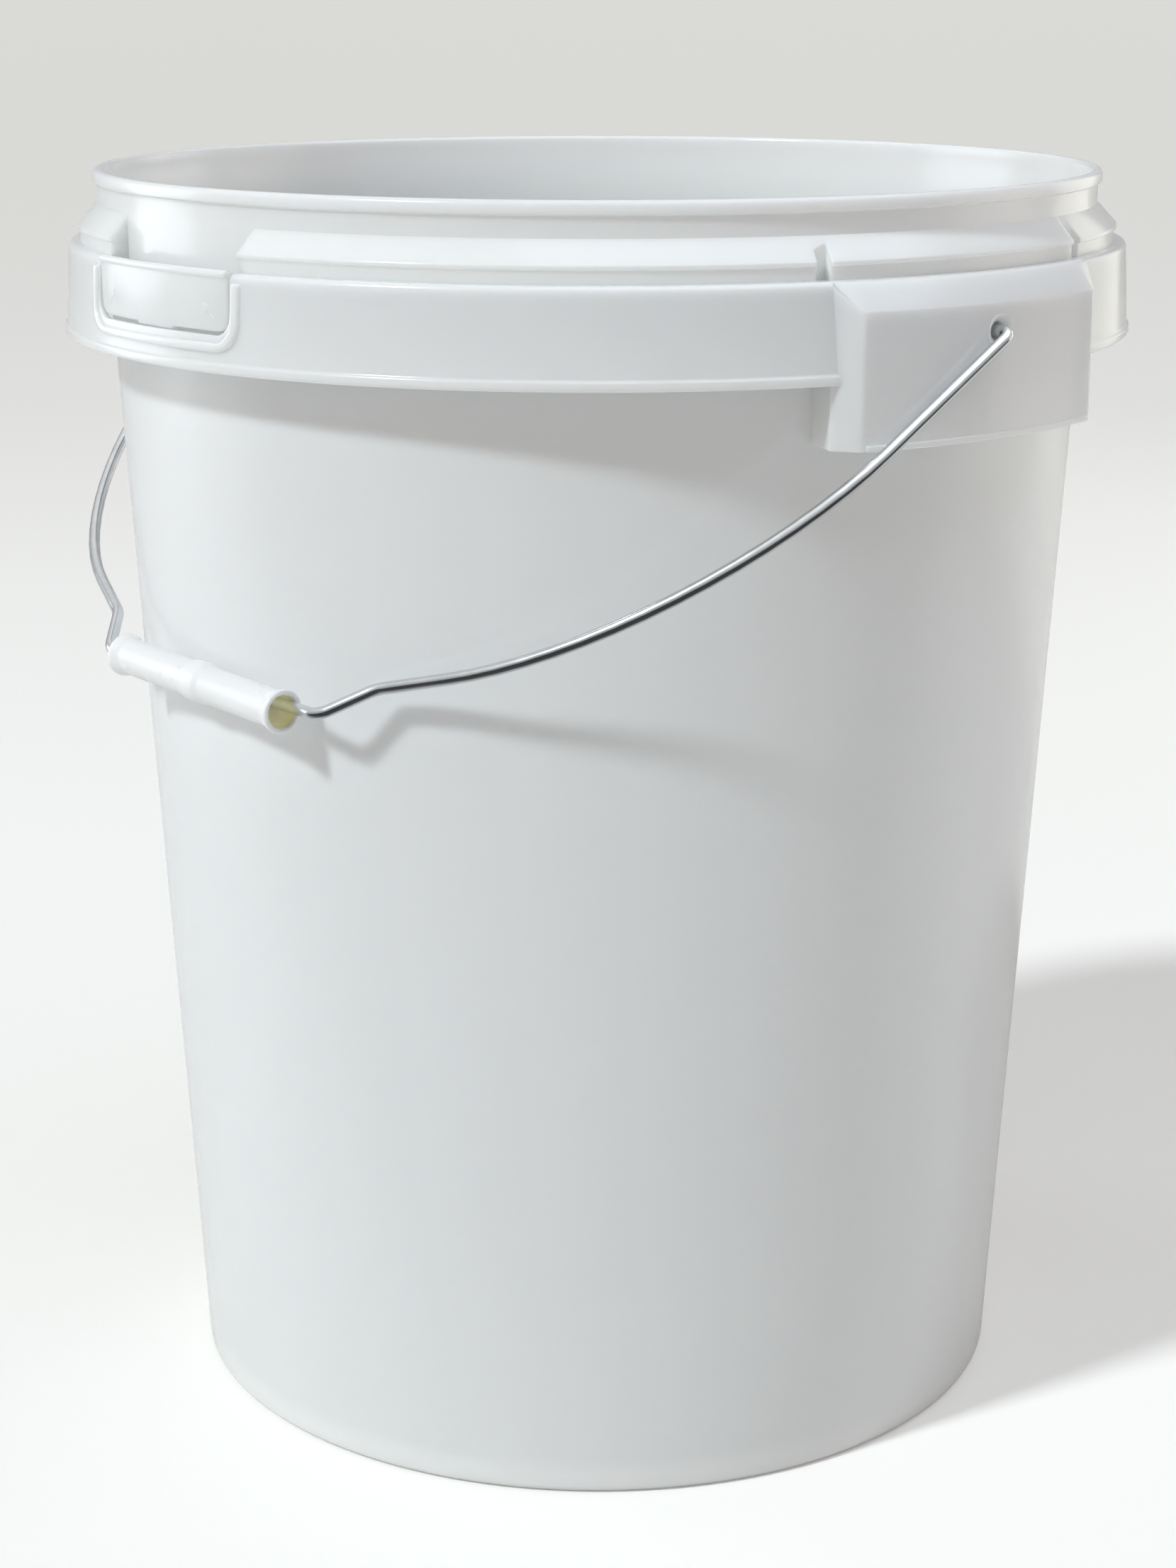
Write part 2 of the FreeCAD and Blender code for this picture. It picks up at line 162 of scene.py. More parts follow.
def add_outline(bm, corners, closed=True, steps=ROUND_STEPS):
    """Edges through (x, y, z, radius) corners, each corner rounded to its radius."""
    verts = [bm.verts.new(corner[:3]) for corner in corners]
    ends = verts[1:] + verts[:1] if closed else verts[1:]
    for start, end in zip(verts, ends):
        bm.edges.new((start, end))
    for vert, corner in zip(verts, corners):
        if corner[3]:
            arms = [edge.other_vert(vert).co - vert.co for edge in vert.link_edges]
            turn = math.pi - arms[0].angle(arms[1])
            bmesh.ops.bevel(bm, geom=[vert], affect="VERTICES", offset_type="OFFSET",
                            offset=corner[3] * math.tan(turn / 2), segments=steps,
                            profile=0.5, material=-1)


def settle(bm):
    """Merged doubles, no slivers, normals outward."""
    bmesh.ops.remove_doubles(bm, verts=bm.verts[:], dist=0.004)
    bmesh.ops.dissolve_degenerate(bm, dist=0.002, edges=bm.edges[:])
    bmesh.ops.recalc_face_normals(bm, faces=bm.faces[:])


def turned(profile, steps=TURN_STEPS, start=0.0, sweep=360.0, closed=True):
    """A profile of (radius, z, rounding) corners spun about Z from angle start, ends capped."""
    bm = bmesh.new()
    add_outline(bm, [(r, 0, z, rounding) for r, z, rounding in profile], closed)
    bmesh.ops.rotate(bm, verts=bm.verts[:], matrix=Matrix.Rotation(math.radians(start), 3, "Z"))
    bmesh.ops.spin(bm, geom=bm.verts[:] + bm.edges[:], axis=(0, 0, 1), steps=steps,
                   angle=math.radians(sweep), use_merge=sweep == 360.0)
    bmesh.ops.remove_doubles(bm, verts=bm.verts[:], dist=0.002)
    if sweep < 360.0:
        bmesh.ops.holes_fill(bm, edges=[e for e in bm.edges if e.is_boundary], sides=0)
    settle(bm)
    return bm


def plate(corners, near, far, edge_round=0.0, steps=ROUND_STEPS):
    """An upright plate facing -Y from (x, z, rounding) corners, its front edges rounded."""
    bm = bmesh.new()
    add_outline(bm, [(x, 0, z, rounding) for x, z, rounding in corners], True, steps)
    moved = fill_and_extrude(bm)
    for vert in bm.verts:
        vert.co.y = far
    for vert in moved:
        vert.co.y = near
    settle(bm)
    if edge_round:
        front = [e for e in bm.edges if all(abs(v.co.y - near) < 0.01 for v in e.verts)]
        round_edges(bm, front, edge_round, 3, clamp_overlap=True)
    return bm


def wrap(bm, radius_at, step=1.5):
    """Bends a plate round the bucket: y is then a depth outward from radius_at(z)."""
    reach = max(abs(v.co.x) for v in bm.verts)
    count = int(reach / step)
    for i in range(-count, count + 1):
        bmesh.ops.bisect_plane(bm, geom=bm.verts[:] + bm.edges[:] + bm.faces[:], dist=0.0001,
                               plane_co=(i * step, 0, 0), plane_no=(1, 0, 0))
    for vert in bm.verts:
        radius = radius_at(vert.co.z) - vert.co.y
        vert.co.y = -math.sqrt(radius ** 2 - vert.co.x ** 2)


def rod(radius, end_radius, start, end, steps=48):
    """A closed cylinder or cone between two points."""
    bm = bmesh.new()
    line = end - start
    bmesh.ops.create_cone(bm, cap_ends=True, segments=steps, radius1=radius, radius2=end_radius,
                          depth=line.length)
    turn = line.to_track_quat("Z", "Y").to_matrix()
    bmesh.ops.rotate(bm, verts=bm.verts[:], matrix=turn)
    bmesh.ops.translate(bm, verts=bm.verts[:], vec=(start + end) / 2)
    return bm


def rotated(bm, degrees):
    bmesh.ops.rotate(bm, verts=bm.verts[:], matrix=Matrix.Rotation(math.radians(degrees), 3, "Z"))
    return bm


def as_object(name, *parts):
    """One object from closed bmeshes, which are freed."""
    mesh = bpy.data.meshes.new(name)
    whole = bmesh.new()
    for part in parts:
        part.to_mesh(mesh)
        whole.from_mesh(mesh)
        part.free()
    whole.to_mesh(mesh)
    whole.free()
    return in_scene(name, mesh)


def combine(body, operation, *parts):
    """Cuts closed shapes from the body, or joins them to it."""
    tool = as_object("tool", *parts)
    modifier = body.modifiers.new("combine", "BOOLEAN")
    modifier.operation = operation
    modifier.object = tool
    modifier.solver = "EXACT"
    modifier.use_self = len(parts) > 1 and operation == "UNION"
    graph = bpy.context.evaluated_depsgraph_get()
    mesh = bpy.data.meshes.new_from_object(body.evaluated_get(graph))
    body.modifiers.clear()
    body.data = mesh
    bpy.data.objects.remove(tool)
    return body


def copy_of(body):
    bm = bmesh.new()
    bm.from_mesh(body.data)
    return bm


def round_sharp_edges(body, width, wanted, least_turn=34.0):
    """Rounds the outward edges that cutting left sharp, where their middles are wanted."""
    bm = copy_of(body)
    settle(bm)
    limit = math.radians(least_turn)
    chosen = []
    for edge in bm.edges:
        if len(edge.link_faces) != 2 or not edge.is_convex or edge.calc_face_angle(0) < limit:
            continue
        if wanted((edge.verts[0].co + edge.verts[1].co) / 2):
            chosen.append(edge)
    round_edges(bm, chosen, width, 2, miter_outer="ARC")
    bm.to_mesh(body.data)
    bm.free()


def finish_piece(piece, body, slot, material, *nodes):
    """Metres, smooth shading, material, and what the piece stands for."""
    bm = copy_of(piece)
    settle(bm)
    bmesh.ops.scale(bm, verts=bm.verts[:], vec=(0.001, 0.001, 0.001))
    for face in bm.faces:
        face.smooth = True
    for edge in bm.edges:
        edge.smooth = edge.calc_face_angle(0) < math.radians(32)
    bm.to_mesh(piece.data)
    bm.free()
    piece.data.materials.clear()
    piece.data.materials.append(material)
    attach(piece, body)
    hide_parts(*nodes)
    return piece


# ------------------------------------------------------------------ materials
def linear(code):
    """An sRGB hex colour as linear RGBA."""
    values = [int(code[i:i + 2], 16) / 255 for i in (1, 3, 5)]
    return [v / 12.92 if v <= 0.04045 else ((v + 0.055) / 1.055) ** 2.4 for v in values] + [1.0]


def add(tree, kind, settings=None, **links):
    """A node of this kind, with its attributes set; links feed its sockets by name or number."""
    node = tree.nodes.new(kind)
    for name, value in (settings or {}).items():
        if name in node.inputs:
            node.inputs[name].default_value = value
        else:
            setattr(node, name, value)
    for name, source in links.items():
        key = int(name[1:]) if name[1:].isdigit() else name.replace("_", " ")
        tree.links.new(source, node.inputs[key])
    return node


def new_material(name):
    material = bpy.data.materials.new(name)
    material.use_nodes = True
    tree = material.node_tree
    tree.nodes.clear()
    shader = add(tree, "ShaderNodeBsdfPrincipled")
    output = add(tree, "ShaderNodeOutputMaterial")
    tree.links.new(shader.outputs[0], output.inputs[0])
    return material, tree, shader


def noise(tree, place, grain, detail):
    """Noise with features about this many millimetres across."""
    return add(tree, "ShaderNodeTexNoise", {"Scale": 1000 / grain, "Detail": detail}, Vector=place)


def tint(tree, shader, pattern, low, high):
    """The base colour drifts between two near shades."""
    colour = add(tree, "ShaderNodeMix", {"data_type": "RGBA"}, _0=pattern.outputs["Fac"])
    colour.inputs[6].default_value = linear(low)
    colour.inputs[7].default_value = linear(high)
    tree.links.new(colour.outputs[2], shader.inputs["Base Color"])


def milk(shader, ior, weight, radius, depth):
    """Light that enters the plastic and comes out again within this depth in metres."""
    shader.inputs["IOR"].default_value = ior
    shader.inputs["Subsurface Weight"].default_value = weight
    shader.inputs["Subsurface Radius"].default_value = radius
    shader.inputs["Subsurface Scale"].default_value = depth


def moulded_polypropylene():
    """Injection-moulded white polypropylene: a satin skin with a soft milky depth, broad faint
    waviness where the wall cooled, and a gloss that varies in faint upright streaks."""
    material, tree, shader = new_material("moulded_polypropylene")
    place = add(tree, "ShaderNodeTexCoord").outputs["Object"]
    tint(tree, shader, noise(tree, place, 160.0, 2.0), "#EDF0F1", "#F3F4F2")
    milk(shader, 1.49, 1.0, (1.0, 0.95, 0.88), 0.007)

    streaks = add(tree, "ShaderNodeMapping", {"Scale": (1.0, 1.0, 0.12)}, Vector=place)
    rubs = noise(tree, streaks.outputs[0], 4.0, 3.0)
    gloss = add(tree, "ShaderNodeMapRange", {"From Min": 0.3, "From Max": 0.7, "To Min": 0.16,
                                             "To Max": 0.19}, Value=rubs.outputs["Fac"])
    tree.links.new(gloss.outputs[0], shader.inputs["Roughness"])

    wave = noise(tree, place, 45.0, 1.0)
    skin = noise(tree, place, 1.4, 2.0)
    broad = add(tree, "ShaderNodeBump", {"Strength": 0.25, "Distance": 0.0006},
                Height=wave.outputs["Fac"])
    fine = add(tree, "ShaderNodeBump", {"Strength": 0.12, "Distance": 0.00006},
               Height=skin.outputs["Fac"], Normal=broad.outputs[0])
    tree.links.new(fine.outputs[0], shader.inputs["Normal"])
    return material


def zinc_plated_wire():
    """Cold-drawn steel wire with bright zinc plating: a clean mirror streak along the wire,
    softened by a fine grain and small cloudy patches in the plating."""
    material, tree, shader = new_material("zinc_plated_wire")
    place = add(tree, "ShaderNodeTexCoord").outputs["Object"]
    cloud = noise(tree, place, 6.0, 3.0)
    tint(tree, shader, cloud, "#C9CDD1", "#E4E6E8")
    shader.inputs["Metallic"].default_value = 1.0
    rough = add(tree, "ShaderNodeMapRange", {"To Min": 0.14, "To Max": 0.24},
                Value=cloud.outputs["Fac"])
    tree.links.new(rough.outputs[0], shader.inputs["Roughness"])
    grain = noise(tree, place, 0.6, 1.0)
    bump = add(tree, "ShaderNodeBump", {"Strength": 0.15, "Distance": 0.00003},
               Height=grain.outputs["Fac"])
    tree.links.new(bump.outputs[0], shader.inputs["Normal"])
    return material


def moulded_polyethylene(name, low, high, milkiness, depth):
    """Moulded polyethylene tube: brighter and a little duller in its gloss than the bucket, with
    light passing into its thin wall; the bore has a deeper milk, and its yellower colours are a
    painted warm glow of light coming through the wall into the shaded bore."""
    material, tree, shader = new_material(name)
    place = add(tree, "ShaderNodeTexCoord").outputs["Object"]
    cloud = noise(tree, place, 20.0, 2.0)
    tint(tree, shader, cloud, low, high)
    milk(shader, 1.51, milkiness, (1.0, 0.95, 0.85), depth)
    rough = add(tree, "ShaderNodeMapRange", {"To Min": 0.22, "To Max": 0.34},
                Value=cloud.outputs["Fac"])
    tree.links.new(rough.outputs[0], shader.inputs["Roughness"])
    ripple = noise(tree, place, 9.0, 1.0)
    bump = add(tree, "ShaderNodeBump", {"Strength": 0.1, "Distance": 0.0002},
               Height=ripple.outputs["Fac"])
    tree.links.new(bump.outputs[0], shader.inputs["Normal"])
    return material


# ------------------------------------------------------------------ the bucket moulding
def bucket_profile():
    """Half the bucket's section as (radius, z, rounding), from the floor's middle to the foot."""
    flare_z = HEIGHT - FLARE_HEIGHT
    inside_rows = [(cone_radius(z) - WALL, z, 0) for z in WALL_ROWS]
    outside_rows = [(cone_radius(z), z, 0) for z in reversed(WALL_ROWS)]
    return [
        (0.0, FLOOR_Z, 0),
        (cone_radius(FLOOR_Z) - WALL, FLOOR_Z, 6.0),
        *inside_rows,
        (cone_radius(flare_z) - WALL, flare_z, 70.0),
        (RIM_RADIUS - 4.0, HEIGHT - 6.0, 50.0),
        (RIM_RADIUS - RIM_WALL, HEIGHT, 1.4),
        (RIM_RADIUS, HEIGHT, 1.7),
        (RIM_RADIUS, HEIGHT - RIM_BEAD_HEIGHT, 0.35),
        (NECK_RADIUS, HEIGHT - RIM_BEAD_UNDER, 0.3),
        (NECK_RADIUS, NECK_FOOT_Z, 0),
        (RING_RADIUS, RING_EDGE_Z, 0.6),
        (RING_RADIUS, RING_EDGE_Z - RING_LIP, 0.25),
        (RING_RADIUS - RING_UNDERCUT, RING_EDGE_Z - RING_LIP - 0.3, 0),
        (RING_RADIUS - RING_UNDERCUT, LEDGE_Z, 0),
        (BAND_TOP_RADIUS, LEDGE_Z, 1.8),
        (BAND_FOOT_RADIUS, BAND_SLOPE_Z, 0.8),
        (BAND_BEAD_RADIUS, BEAD_TOP_Z, 0.6),
        (BAND_BEAD_RADIUS, BEAD_FOOT_Z, 0.8),
        (BAND_FOOT_RADIUS - 0.2, BAND_FOOT_Z, 0.3),
        (BAND_FOOT_RADIUS - BAND_WALL, BAND_FOOT_Z, 0.4),
        (BAND_TOP_RADIUS - BAND_WALL, LEDGE_UNDER_Z, 0.5),
        (CONE_TOP_RADIUS, LEDGE_UNDER_Z, 0.8),
        *outside_rows,
        (BASE_RADIUS + 0.1, 0.0, 2.6),
        (FOOT_INNER + 0.6, 0.0, 0.6),
        (FOOT_INNER, FOOT_HEIGHT, 0.5),
        (0.0, FOOT_HEIGHT, 0),
    ]


def ring_sector(inner, outer, low, top, start, end):
    """A plain ring segment for cutting, angles in degrees."""
    corners = [(inner, low, 0), (outer, low, 0), (outer, top, 0), (inner, top, 0)]
    return turned(corners, max(4, int((end - start) / 0.6)), start, end - start)


def push_up(bm, height):
    """Fills a flat outline and pushes it up into a closed prism."""
    bmesh.ops.translate(bm, verts=fill_and_extrude(bm), vec=(0, 0, height))
    settle(bm)


def gap_cutter():
    """The break in the ring behind the tab: parallel sides, with the ring's outer corners eased."""
    neck = NECK_RADIUS + NECK_SKIN
    reach = math.asin(GAP_HALF / neck)
    corner = math.sqrt((RING_RADIUS - GAP_EDGE_ROUND) ** 2 - GAP_HALF ** 2)
    plan = [(neck * math.sin(reach * i / 24), neck * math.cos(reach * i / 24))
            for i in range(-24, 25)]
    side = []
    for i in range(5):
        angle = math.radians(180 - i * 90 / 4)
        side.append((GAP_HALF + GAP_EDGE_ROUND * (1 + math.cos(angle)),
                     corner + GAP_EDGE_ROUND * math.sin(angle)))
    side.append((GAP_HALF + GAP_EDGE_ROUND, RING_RADIUS + 15))
    plan += side + [(-x, y) for x, y in reversed(side)]
    bm = bmesh.new()
    add_outline(bm, [(x, -y, LEDGE_Z, 0) for x, y in plan])
    push_up(bm, RING_CUT_HEIGHT)
    return bm


def notch_cutter(ear_angle, side):
    """A notch through the ring beside an ear, its floor square to the ear's axis."""
    near, far = [math.radians(side * angle) for angle in NOTCH_ANGLES]
    outside = RING_RADIUS + 2.5
    plan = [
        (NOTCH_FLOOR_X, NOTCH_FLOOR_X * math.tan(near)),
        (outside * math.cos(near), outside * math.sin(near)),
        (outside * math.cos(far), outside * math.sin(far)),
        (NOTCH_FLOOR_X, NOTCH_FLOOR_X * math.tan(far)),
    ]
    bm = bmesh.new()
    add_outline(bm, [(x, y, LEDGE_Z, 0) for x, y in plan])
    push_up(bm, RING_CUT_HEIGHT)
    return rotated(bm, ear_angle)


def ear_shell(inset, foot):
    """The ear block about +X: its outline pushed up, then trimmed by a cap with the top bevel."""
    front = EAR_FRONT_RADIUS - inset
    top = EAR_TOP_Z - inset
    root = cone_radius(EAR_FOOT_Z) - WALL
    root_x = math.sqrt(root ** 2 - EAR_ROOT_HALF ** 2)
    side_x = math.sqrt(BAND_TOP_RADIUS ** 2 - EAR_SIDE_HALF ** 2) - inset * 0.5
    spread = math.asin((EAR_FRONT_HALF - inset) / front)
    corner = 2.4 if inset == 0 else 0
    outline = [(root_x, EAR_ROOT_HALF - inset, foot, 0), (root_x, inset - EAR_ROOT_HALF, foot, 0),
               (side_x, inset - EAR_SIDE_HALF, foot, 0)]
    for i in range(-EAR_FRONT_STEPS, EAR_FRONT_STEPS + 1):
        angle = spread * i / EAR_FRONT_STEPS
        outline.append((front * math.cos(angle), front * math.sin(angle), foot,
                        corner if abs(i) == EAR_FRONT_STEPS else 0))
    outline.append((side_x, EAR_SIDE_HALF - inset, foot, 0))
    bm = bmesh.new()
    add_outline(bm, outline)
    push_up(bm, EAR_TOP_Z + 1 - foot)
    steep = EAR_TOP_BEVEL / (EAR_FRONT_RADIUS - BAND_TOP_RADIUS)
    cap = turned([
        (140.0, foot - 1, 0),
        (front + 3, foot - 1, 0),
        (front + 3, top - EAR_TOP_BEVEL - 3 * steep, 0),
        (BAND_TOP_RADIUS - inset, top, 1.8 if inset == 0 else 0),
        (140.0, top, 0),
    ], 96, -24.0, 48.0)
    shell = combine(as_object("ear_shell", bm), "INTERSECT", cap)
    bm = copy_of(shell)
    bpy.data.objects.remove(shell)
    settle(bm)
    return bm


def ear_block():
    """The hollow ear about +X with its lip, boss, sunk hole and raised hole outline."""
    ear = as_object("ear", ear_shell(0, EAR_FOOT_Z))
    combine(ear, "DIFFERENCE", ear_shell(WALL, EAR_FOOT_Z - 5))
    spread = math.degrees(math.asin((EAR_FRONT_HALF - 1.6) / EAR_FRONT_RADIUS))
    lip = turned([
        (EAR_FRONT_RADIUS - 1.5, EAR_FOOT_Z, 0),
        (EAR_FRONT_RADIUS + 0.5, EAR_FOOT_Z, 0.45),
        (EAR_FRONT_RADIUS + 0.5, EAR_FOOT_Z + 2.0, 0.45),
        (EAR_FRONT_RADIUS - 1.5, EAR_FOOT_Z + 2.2, 0),
    ], 60, -spread, 2 * spread)
    hole_line = Vector((0, 0, PIVOT_Z))
    boss_from = EAR_FRONT_RADIUS - WALL - 3.4
    boss = rod(EAR_BOSS_RADIUS, EAR_BOSS_RADIUS, hole_line + Vector((boss_from, 0, 0)),
               hole_line + Vector((EAR_FRONT_RADIUS - 0.6, 0, 0)))
    outline = turned([
        (EAR_SINK_RADIUS - 0.1, -1.0, 0),
        (EAR_SINK_RADIUS + 0.7, -1.0, 0),
        (EAR_SINK_RADIUS + 0.55, 0.35, 0.2),
        (EAR_SINK_RADIUS + 0.1, 0.35, 0.2),
    ], 48)
    bmesh.ops.rotate(outline, verts=outline.verts[:], matrix=Matrix.Rotation(math.pi / 2, 3, "Y"))
    bmesh.ops.translate(outline, verts=outline.verts[:],
                        vec=hole_line + Vector((EAR_FRONT_RADIUS, 0, 0)))
    combine(ear, "UNION", lip)
    combine(ear, "UNION", boss)
    combine(ear, "UNION", outline)
    sink_from = hole_line + Vector((EAR_FRONT_RADIUS - 1.2, 0, 0))
    sink_to = hole_line + Vector((EAR_FRONT_RADIUS + 0.6, 0, 0))
    through_from = sink_from - Vector((20, 0, 0))
    combine(ear, "DIFFERENCE", rod(EAR_HOLE_RADIUS, EAR_SINK_MOUTH, sink_from, sink_to))
    combine(ear, "DIFFERENCE", rod(EAR_HOLE_RADIUS, EAR_HOLE_RADIUS, through_from, sink_to))
    core = turned([
        (0.0, 300.0, 0),
        (cone_radius(300.0) - 1.1, 300.0, 0),
        (cone_radius(430.0) - 1.1, 430.0, 0),
        (0.0, 430.0, 0),
    ], 240)
    combine(ear, "DIFFERENCE", core)
    return ear


def tab_frame_rib():
    """The raised U round the tab."""
    inner = RIB_OUTER_HALF - RIB_WIDTH
    rib = plate([
        (-RIB_OUTER_HALF, RIB_TOP_Z, 0.8),
        (-RIB_OUTER_HALF, RIB_FOOT_Z, 10.0),
        (RIB_OUTER_HALF, RIB_FOOT_Z, 10.0),
        (RIB_OUTER_HALF, RIB_TOP_Z, 0.8),
        (inner, RIB_TOP_Z, 0.8),
        (inner, RIB_FOOT_Z + 2.8, 6.9),
        (-inner, RIB_FOOT_Z + 2.8, 6.9),
        (-inner, RIB_TOP_Z, 0.8),
    ], -RIB_OUT, 1.0, 0.8, 8)
    wrap(rib, band_radius)
    return rib


def beside_ears_or_window(middle):
    """The notches beside the ears and the tab's window, but not the ring's ends behind the tab."""
    in_notch = middle.z > LEDGE_Z + 0.1 and abs(middle.y) < RIM_RADIUS / 2
    in_window = middle.z < LEDGE_Z - 0.1 and middle.y < -BAND_TOP_RADIUS * 0.9
    return middle.xy.length > NECK_RADIUS + 0.3 and (in_notch or in_window)


def bucket_moulding(material):
    bucket = as_object("bucket_moulding", turned(bucket_profile(), closed=False))
    cuts = [gap_cutter()]
    cuts.append(ring_sector(NECK_RADIUS + NECK_SKIN, BAND_TOP_RADIUS - BAND_WALL,
                            LEDGE_UNDER_Z - 1.0, LEDGE_Z + 0.4,
                            -90 - TAB_GAP_ANGLE, -90 + TAB_GAP_ANGLE))
    cuts.append(plate([
        (-WINDOW_HALF, LEDGE_Z, 0),
        (-WINDOW_HALF, WINDOW_FOOT_Z, 6.0),
        (WINDOW_HALF, WINDOW_FOOT_Z, 6.0),
        (WINDOW_HALF, LEDGE_Z, 0),
    ], -BAND_BEAD_RADIUS - 10, -NECK_RADIUS - 0.8))
    band_end = math.degrees(math.asin(EAR_SIDE_HALF / BAND_TOP_RADIUS)) - 0.8
    for ear_angle in (0, 180):
        for side in (1, -1):
            cuts.append(notch_cutter(ear_angle, side))
        cuts.append(ring_sector(CONE_TOP_RADIUS + 1.0, BAND_BEAD_RADIUS + 5, BAND_FOOT_Z - 1,
                                LEDGE_UNDER_Z, ear_angle - band_end, ear_angle + band_end))
    for cut in cuts:
        combine(bucket, "DIFFERENCE", cut)
    round_sharp_edges(bucket, EDGE_ROUND, beside_ears_or_window)
    ear = ear_block()
    round_sharp_edges(ear, EDGE_ROUND, lambda middle: middle.x > CONE_TOP_RADIUS - 4)
    for angle in (0, 180):
        combine(bucket, "UNION", rotated(copy_of(ear), angle))
    bpy.data.objects.remove(ear)
    combine(bucket, "UNION", tab_frame_rib())
    return finish_piece(bucket, "bucket", "bucket_plastic", material,
                        "bucket_cup", "bucket_collar", "ear_block_right", "ear_block_left")


# ------------------------------------------------------------------ the opening tab
def arrow(side):
    """A raised line with a head, pointing up and in towards the tab's middle."""
    tail = Vector((side * 30.0, 397.2))
    tip = Vector((side * 26.2, 401.8))
    along = (tip - tail).normalized()
    across = Vector((-along.y, along.x))
    places = [(tail, -0.45, 0), (tip, -0.45, -2.0), (tip, -1.7, -2.4), (tip, 0, 0.6),
              (tip, 1.7, -2.4), (tip, 0.45, -2.0), (tail, 0.45, 0)]
    points = [base + across * sideways + along * forward for base, sideways, forward in places]
    line = plate([(p.x, p.y, 0.15) for p in points], -0.35, 0.5, 0.15, 2)
    wrap(line, lambda z: TAB_RADIUS)
    return line


def opening_tab(material):
    body = plate([
        (-TAB_HALF, TAB_TOP_Z - 0.6, 0.6),
        (-TAB_HALF, TAB_FOOT_Z, 4.8),
        (-BRIDGE_HALF, TAB_FOOT_Z, 0.4),
        (-BRIDGE_HALF, WINDOW_FOOT_Z + 0.3, 0),
        (BRIDGE_HALF, WINDOW_FOOT_Z + 0.3, 0),
        (BRIDGE_HALF, TAB_FOOT_Z, 0.4),
        (TAB_HALF, TAB_FOOT_Z, 4.8),
        (TAB_HALF, TAB_TOP_Z - 0.6, 0.6),
    ], 0.0, BAND_WALL, 0.7)
    wrap(body, lambda z: TAB_RADIUS)
    tab = as_object("opening_tab", body)
    reach = math.degrees(math.asin((TAB_HALF - 0.1) / TAB_RADIUS))
    roll = turned([
        (TAB_RADIUS - 1.3, TAB_TOP_Z - 2.4, 1.1),
        (TAB_RADIUS + 1.1, TAB_TOP_Z - 2.4, 1.1),
        (TAB_RADIUS + 1.1, TAB_TOP_Z, 1.1),
        (TAB_RADIUS - 1.3, TAB_TOP_Z, 1.1),
    ], 48, -90 - reach, 2 * reach)
    round_edges(roll, square_edges(roll), 0.8, 4)
    combine(tab, "UNION", roll)
    for side in (1, -1):
        combine(tab, "UNION", arrow(side))
    return finish_piece(tab, "tab", "tab_plastic", material, "opening_tab")


# ------------------------------------------------------------------ bail and grip
def bail_point(across, along):
    """A point in the bail's own plane: across is X, along runs from the pivot to the grip."""
    return (across, -along * math.sin(BAIL_ANGLE), PIVOT_Z - along * math.cos(BAIL_ANGLE))


def bail_wire(material):
    seat = GRIP_LENGTH / 2 + 14.5
    half = [
        (BAIL_END_X - 1.0, 0.0, 0),
        (BAIL_BEND_X, 0.0, 3.4),
        (BAIL_BEND_X - 15.2, BAIL_DEPTH * 0.7, 150.0),
        (seat + 14.0, BAIL_DEPTH - 15.6, 11.0),
        (seat, BAIL_DEPTH, 9.0),
    ]
    path = half + [(-across, along, rounding) for across, along, rounding in reversed(half)]
    bm = bmesh.new()
    add_outline(bm, [bail_point(x, along) + (rounding,) for x, along, rounding in path], False, 16)
    line = as_object("bail_line", bm)
    bpy.ops.object.select_all(action="DESELECT")
    bpy.context.view_layer.objects.active = line
    line.select_set(True)
    bpy.ops.object.convert(target="CURVE")
    line.data.bevel_depth = WIRE_RADIUS
    line.data.bevel_resolution = 6
    line.data.use_fill_caps = True
    graph = bpy.context.evaluated_depsgraph_get()
    tube = bpy.data.meshes.new_from_object(line.evaluated_get(graph))
    bpy.data.objects.remove(line)
    wire = in_scene("bail_wire", tube)
    for side in (1, -1):
        outer = Vector((side * BAIL_END_X, 0, PIVOT_Z))
        head = rod(BAIL_HEAD_RADIUS, BAIL_HEAD_RADIUS, outer,
                   outer - Vector((side * BAIL_HEAD_LENGTH, 0, 0)))
        round_edges(head, square_edges(head), 0.6, 3)
        combine(wire, "UNION", head)
    return finish_piece(wire, "bail", "bail_steel", material, "bail_wire")


def grip_tube(outside, inside):
    half = GRIP_LENGTH / 2
    one_end = [
        (GRIP_BORE_RADIUS, half - 1.2, 0),
        (GRIP_BORE_RADIUS + 0.7, half, 0.5),
        (GRIP_END_RADIUS, half, 0.8),
        (GRIP_END_RADIUS, half - 1.6, 1.2),
        (GRIP_RADIUS, half - 5.0, 3.0),
        (GRIP_RADIUS, 6.0, 3.0),
        (GRIP_RING_RADIUS, 3.4, 2.0),
    ]
    other_end = [(r, -x, rounding) for r, x, rounding in reversed(one_end[:-2])]
    other_end = [(GRIP_RING_RADIUS, -3.6, 0.3), (GRIP_RADIUS, -4.1, 0.5)] + other_end
    bm = turned(one_end + other_end, 64)
    lean = Matrix.Rotation(GRIP_TILT, 3, "Y") @ Matrix.Rotation(math.pi / 2, 3, "Y")
    bmesh.ops.rotate(bm, verts=bm.verts[:], matrix=lean)
    bmesh.ops.translate(bm, verts=bm.verts[:], vec=GRIP_CENTRE)
    grip = finish_piece(as_object("grip_tube", bm), "grip", "grip_plastic", outside, "grip_tube")
    grip.data.materials.append(inside)
    axis = lean @ Vector((0, 0, 1))
    # The bore's faces get the second material, whose yellow is a painted warm glow, not the tube's
    # own colour.
    for face in grip.data.polygons:
        arm = face.center * 1000 - GRIP_CENTRE
        if (arm - axis * arm.dot(axis)).length < GRIP_BORE_RADIUS + 0.1:
            face.material_index = 1
    return grip


